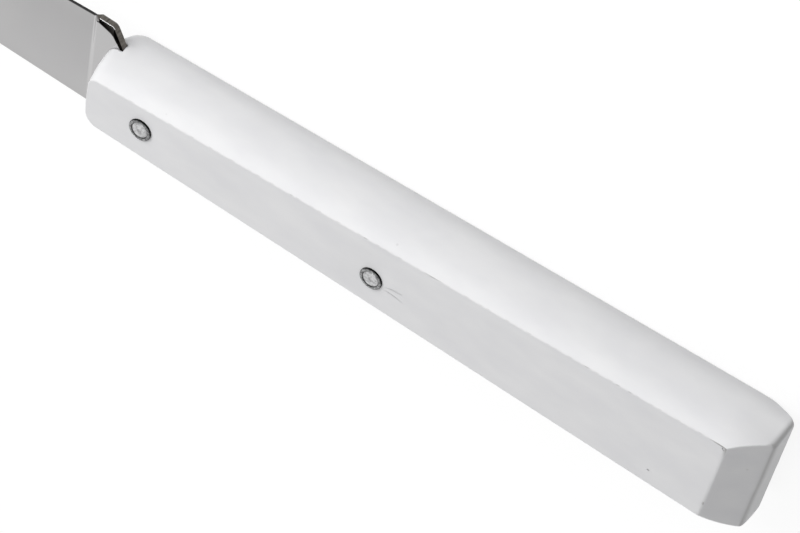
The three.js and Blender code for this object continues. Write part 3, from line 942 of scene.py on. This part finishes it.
def satin_painted_wood():
    """White satin paint sprayed on close-grained hardwood: an even, soft gloss. The grain shows through as
    faint lengthwise ripples, with a few dust specks, and small chips on the edges. The same grey gives
    painted shade in the hair cracks and on the butt's corner to the belly, and darker lines along its
    ridges."""
    material, tree = new_material("satin_painted_wood")
    grain = put(tree, "ShaderNodeTexNoise", {
        "Vector": place_in_mm(tree, (14, 0.5, 0.5)), "Scale": 1.0, "Detail": 3.0})
    peel = put(tree, "ShaderNodeTexNoise", {
        "Vector": place_in_mm(tree, (1.1, 1.1, 1.1)), "Scale": 1.0, "Detail": 2.0})
    mottle = put(tree, "ShaderNodeTexNoise", {
        "Vector": place_in_mm(tree, (9, 4, 4)), "Scale": 1.0, "Detail": 3.0})
    paint = put(tree, "ShaderNodeValToRGB", {"Fac": mottle.outputs["Fac"]},
                stops=((0.3, linear("#E3E3E5")), (0.7, linear("#E9E9EA"))))
    dust = put(tree, "ShaderNodeTexVoronoi", {"Vector": place_in_mm(tree, (6, 6, 6)), "Scale": 1.0})
    speck = put(tree, "ShaderNodeMapRange", {
        "Value": dust.outputs["Distance"], "From Min": 0.04, "From Max": 0.02, "To Max": 0.16})
    specked = put(tree, "ShaderNodeMix", {
        "Factor": speck.outputs[0], "A": paint.outputs["Color"], "B": linear("#8E8C8A")}, data_type="RGBA")
    # Marks mix in a grey: bare wood in nicks, the pit and thin patches, painted shade in the cracks and on
    # the butt's corner, and darker lines along its ridges
    wear_and_shade = put(tree, "ShaderNodeAttribute", attribute_name="marks")
    chipped_and_shaded = put(tree, "ShaderNodeMix", {
        "Factor": wear_and_shade.outputs["Fac"], "A": specked.outputs["Result"],
        "B": linear("#7F7C79")}, data_type="RGBA")
    ripple = put(tree, "ShaderNodeBump", {
        "Height": grain.outputs["Fac"], "Strength": 0.12, "Distance": 0.03 * MM})
    surface = put(tree, "ShaderNodeBump", {
        "Height": peel.outputs["Fac"], "Normal": ripple.outputs[0], "Strength": 0.3, "Distance": 0.03 * MM})
    gloss = put(tree, "ShaderNodeMapRange", {
        "Value": mottle.outputs["Fac"], "To Min": 0.34, "To Max": 0.45})
    shader = put(tree, "ShaderNodeBsdfPrincipled", {
        "Base Color": chipped_and_shaded.outputs["Result"], "Roughness": gloss.outputs[0], "IOR": 1.5,
        "Normal": surface.outputs[0]})
    put(tree, "ShaderNodeOutputMaterial", {"Surface": shader.outputs[0]})
    return material


def ground_steel():
    """Stainless steel, ground across the blade and polished: grey mirror blurred by fine lines
    that run from spine to edge. Lines of about 0.02 mm are drawn ten times as coarse, to show.
    The heel's bottom and slanted edge are a dark grey, as the press cut them, and its bevels are near black,
    a painted dark reflection."""
    material, tree = new_material("ground_stainless_steel")
    lines = put(tree, "ShaderNodeTexNoise", {
        "Vector": place_in_mm(tree, (0.2, 9, 9)), "Scale": 1.0, "Detail": 4.0})
    cloud = put(tree, "ShaderNodeTexNoise", {
        "Vector": place_in_mm(tree, (12, 12, 12)), "Scale": 1.0, "Detail": 2.0})
    gloss = put(tree, "ShaderNodeMapRange", {
        "Value": lines.outputs["Fac"], "To Min": 0.11, "To Max": 0.17})
    tone = put(tree, "ShaderNodeValToRGB", {"Fac": cloud.outputs["Fac"]},
               stops=((0.2, linear("#D4D3D4")), (0.8, linear("#DAD9D9"))))
    shear = put(tree, "ShaderNodeTexNoise", {
        "Vector": place_in_mm(tree, (0.3, 0.3, 2)), "Scale": 1.0, "Detail": 2.0})
    sheared = put(tree, "ShaderNodeValToRGB", {"Fac": shear.outputs["Fac"]},
                  stops=((0.3, linear("#45423F")), (0.7, linear("#6A6661"))))
    cut = put(tree, "ShaderNodeAttribute", attribute_name="marks")
    # Marks above CUT_GREY turn the press-cut grey to near black: a painted dark reflection on the heel's
    # bevels
    scale = put(tree, "ShaderNodeMapRange", {"Value": cut.outputs["Fac"], "From Min": CUT_GREY})
    dark = put(tree, "ShaderNodeMix", {
        "Factor": scale.outputs[0], "A": sheared.outputs["Color"], "B": linear("#161412")}, data_type="RGBA")
    share = put(tree, "ShaderNodeMapRange", {"Value": cut.outputs["Fac"], "From Max": CUT_GREY})
    steel = put(tree, "ShaderNodeMix", {
        "Factor": share.outputs[0], "A": tone.outputs["Color"],
        "B": dark.outputs["Result"]}, data_type="RGBA")
    scratch = put(tree, "ShaderNodeBump", {
        "Height": lines.outputs["Fac"], "Strength": 0.03, "Distance": 0.01 * MM})
    shader = put(tree, "ShaderNodeBsdfPrincipled", {
        "Base Color": steel.outputs["Result"], "Metallic": 1.0, "Roughness": gloss.outputs[0],
        "Normal": scratch.outputs[0]})
    put(tree, "ShaderNodeOutputMaterial", {"Surface": shader.outputs[0]})
    return material


def rolled_steel():
    """Steel tube with its rim rolled over: a dull, mottled grey, with painted shade: black on the wall
    below, and darker beside the bore."""
    material, tree = new_material("rolled_rivet_steel")
    marks = put(tree, "ShaderNodeAttribute", attribute_name="marks")
    smear = put(tree, "ShaderNodeTexNoise", {
        "Vector": place_in_mm(tree, (0.35, 0.35, 0.35)), "Scale": 1.0, "Detail": 3.0})
    mottle_and_shade = put(tree, "ShaderNodeMath", {
        0: smear.outputs["Fac"], 1: 0.7, 2: marks.outputs["Fac"]}, operation="MULTIPLY_ADD")
    # The black end of this ramp is painted shade on the rim's wall and beside its bore; the rest is the
    # rim's mottled grey
    tone = put(tree, "ShaderNodeValToRGB", {"Fac": mottle_and_shade.outputs[0]},
               stops=((0.25, linear("#CFD0D1")), (0.42, linear("#848485")), (1.0, linear("#161616"))))
    rough = put(tree, "ShaderNodeBump", {
        "Height": smear.outputs["Fac"], "Strength": 0.25, "Distance": 0.03 * MM})
    shader = put(tree, "ShaderNodeBsdfPrincipled", {
        "Base Color": tone.outputs["Color"], "Metallic": 1.0, "Roughness": 0.33,
        "Normal": rough.outputs[0]})
    put(tree, "ShaderNodeOutputMaterial", {"Surface": shader.outputs[0]})
    return material


def peened_alloy():
    """Aluminium pin, set with a hammer: pale and matt, mottled with small flats and pits."""
    material, tree = new_material("peened_rivet_alloy")
    flats = put(tree, "ShaderNodeTexVoronoi", {
        "Vector": place_in_mm(tree, (0.45, 0.45, 0.45)), "Scale": 1.0}, feature="SMOOTH_F1")
    pits = put(tree, "ShaderNodeTexNoise", {
        "Vector": place_in_mm(tree, (0.4, 0.4, 0.4)), "Scale": 1.0, "Detail": 3.0})
    tone = put(tree, "ShaderNodeValToRGB", {"Fac": pits.outputs["Fac"]},
               stops=((0.3, linear("#C6C6C7")), (0.6, linear("#F8F8F9"))))
    hammered = put(tree, "ShaderNodeBump", {
        "Height": flats.outputs["Distance"], "Strength": 0.5, "Distance": 0.04 * MM})
    shader = put(tree, "ShaderNodeBsdfPrincipled", {
        "Base Color": tone.outputs["Color"], "Metallic": 1.0, "Roughness": 0.3,
        "Normal": hammered.outputs[0]})
    put(tree, "ShaderNodeOutputMaterial", {"Surface": shader.outputs[0]})
    return material


# Stage

FLOOR_SIZE = 12.0
FLOOR_LIFT = 0.89
AMBIENT = 0.35
KEY_DIRECTION = (0.502, -0.683, 0.528)
KEY_DISTANCE = 0.755
KEY_SIZE = 0.55
KEY_POWER = 5.0
TOP_DIRECTION = (0.04, 0.25, 0.97)
TOP_DISTANCE = 1.0
TOP_SIZE = 0.5
TOP_POWER = 2.0
BACK_DIRECTION = (0.1, 0.99, 0.07)
BACK_DISTANCE = 1.0
BACK_SIZE = 0.5
BACK_POWER = 3.0
# How bright the room is where it is seen, against the sine of the height: white walls and a dark
# ceiling, with a window high up on the belly's side
ROOM_LEVELS = ((0.0, 1.0), (0.54, 1.0), (0.6, 0.92), (0.66, 0.8), (0.78, 0.1), (1.0, 0.06))
WINDOW_LEVELS = ((0.56, 0.0), (0.62, 1.0), (0.78, 1.0), (0.84, 0.0))
WINDOW_SIDE = (-0.45, -0.6)
WINDOW_BRIGHTNESS = 4.5


def seen_directly(tree):
    """One for rays from the camera, from a gloss or through glass, zero for rays of light."""
    path = put(tree, "ShaderNodeLightPath")
    gloss = put(tree, "ShaderNodeMath", {
        0: path.outputs["Is Camera Ray"], 1: path.outputs["Is Glossy Ray"]}, operation="MAXIMUM")
    return put(tree, "ShaderNodeMath", {
        0: gloss.outputs[0], 1: path.outputs["Is Transmission Ray"]}, operation="MAXIMUM").outputs[0]


def white_table():
    """Matt white table top. It is lifted to white where it is seen, and keeps the shadow."""
    material, tree = new_material("matt_white_table")
    seen = seen_directly(tree)
    lift = put(tree, "ShaderNodeMath", {0: seen, 1: FLOOR_LIFT}, operation="MULTIPLY")
    top = put(tree, "ShaderNodeMix", {
        "Factor": seen, "A": linear("#CBCBCB"), "B": linear("#6B6B6B")}, data_type="RGBA")
    matt = put(tree, "ShaderNodeBsdfDiffuse", {"Color": top.outputs["Result"]})
    glow = put(tree, "ShaderNodeEmission", {"Strength": lift.outputs[0]})
    both = put(tree, "ShaderNodeAddShader", {0: matt.outputs[0], 1: glow.outputs[0]})
    put(tree, "ShaderNodeOutputMaterial", {"Surface": both.outputs[0]})
    return material


def set_table():
    """Table top: one flat square below the knife."""
    half = FLOOR_SIZE / 2
    corners = [(-half, -half, 0), (half, -half, 0), (half, half, 0), (-half, half, 0)]
    mesh = bpy.data.meshes.new("table_top")
    mesh.from_pydata(corners, [], [(0, 1, 2, 3)])
    mesh.materials.append(white_table())
    table = bpy.data.objects.new("table_top", mesh)
    bpy.context.scene.collection.objects.link(table)


def set_surroundings():
    """Room with white walls, a dark ceiling and a window where it is seen or mirrored, and a plain
    soft level where it gives light."""
    world = bpy.data.worlds.new("white_room")
    world.use_nodes = True
    tree = world.node_tree
    tree.nodes.clear()
    way = put(tree, "ShaderNodeTexCoord")
    height = put(tree, "ShaderNodeSeparateXYZ", {"Vector": way.outputs["Generated"]})
    walls, window = (
        put(tree, "ShaderNodeValToRGB", {"Fac": height.outputs["Z"]},
            stops=[(place, (level, level, level, 1.0)) for place, level in levels])
        for levels in (ROOM_LEVELS, WINDOW_LEVELS)
    )
    side = put(tree, "ShaderNodeMapRange", {
        "Value": height.outputs["Y"], "From Min": WINDOW_SIDE[0], "From Max": WINDOW_SIDE[1],
        "To Max": WINDOW_BRIGHTNESS})
    seen = put(tree, "ShaderNodeMath", {
        0: window.outputs["Color"], 1: side.outputs[0], 2: walls.outputs["Color"]}, operation="MULTIPLY_ADD")
    level = put(tree, "ShaderNodeMapRange", {
        "Value": seen_directly(tree), "To Min": AMBIENT, "To Max": seen.outputs[0]})
    room = put(tree, "ShaderNodeBackground", {"Strength": level.outputs[0]})
    put(tree, "ShaderNodeOutputWorld", {"Surface": room.outputs[0]})
    bpy.context.scene.world = world


def set_softbox(name, direction, distance, size, power):
    """Square softbox that faces the middle of the knife. Glosses mirror the room instead of it."""
    light = bpy.data.lights.new(name, "AREA")
    light.shape = "SQUARE"
    light.size = size
    light.energy = power
    softbox = bpy.data.objects.new(name, light)
    towards = Vector(direction).normalized()
    softbox.location = towards * distance
    softbox.rotation_euler = towards.to_track_quat("Z", "Y").to_euler()
    softbox.visible_camera = False
    softbox.visible_glossy = False
    bpy.context.scene.collection.objects.link(softbox)


# Camera: far away with a long lens, turned so that the tip points up and to the left
CAMERA_PLACE = (-450.15, -1131.2, 898.04)
CAMERA_AIM = (-54.87, -5.77, HALF_THICKNESS)
CAMERA_ROLL = np.radians(135.376)
CAMERA_LENS = 474.19
SENSOR_WIDTH = 36.0


def set_camera():
    """Camera at its place, aimed at the middle of the handle and rolled."""
    data = bpy.data.cameras.new("camera")
    data.sensor_width = SENSOR_WIDTH
    data.lens = CAMERA_LENS
    data.clip_start = 0.01
    data.clip_end = 100.0
    place = Vector(ORIGIN + np.array(CAMERA_PLACE) * MM)
    aim = Vector(ORIGIN + np.array(CAMERA_AIM) * MM)
    upright = (aim - place).to_track_quat("-Z", "Y").to_matrix().to_4x4()
    camera = bpy.data.objects.new("camera", data)
    camera.matrix_world = Matrix.Translation(place) @ upright @ Matrix.Rotation(-CAMERA_ROLL, 4, "Z")
    bpy.context.scene.collection.objects.link(camera)
    bpy.context.scene.camera = camera


# The knife
wood = satin_painted_wood()
rim = rolled_steel()
alloy = peened_alloy()
make_piece("painted_handle", "handle", wood, handle_patches(), wear_and_painted_shade)
make_piece("ground_blade", "blade", ground_steel(), blade_patches(), heel_cut_and_reflection)
for place, x in RIVETS.items():
    make_piece(f"{place}_rivet_rim", f"rivet_{place}_tube", rim, tube_patches(x), rim_painted_shade)
    make_piece(f"{place}_rivet_pin", f"rivet_{place}_pin", alloy, pin_patches(x))

set_table()
set_surroundings()
set_softbox("key_softbox", KEY_DIRECTION, KEY_DISTANCE, KEY_SIZE, KEY_POWER)
set_softbox("top_softbox", TOP_DIRECTION, TOP_DISTANCE, TOP_SIZE, TOP_POWER)
set_softbox("back_softbox", BACK_DIRECTION, BACK_DISTANCE, BACK_SIZE, BACK_POWER)
set_camera()
bpy.context.scene.view_settings.view_transform = "Standard"
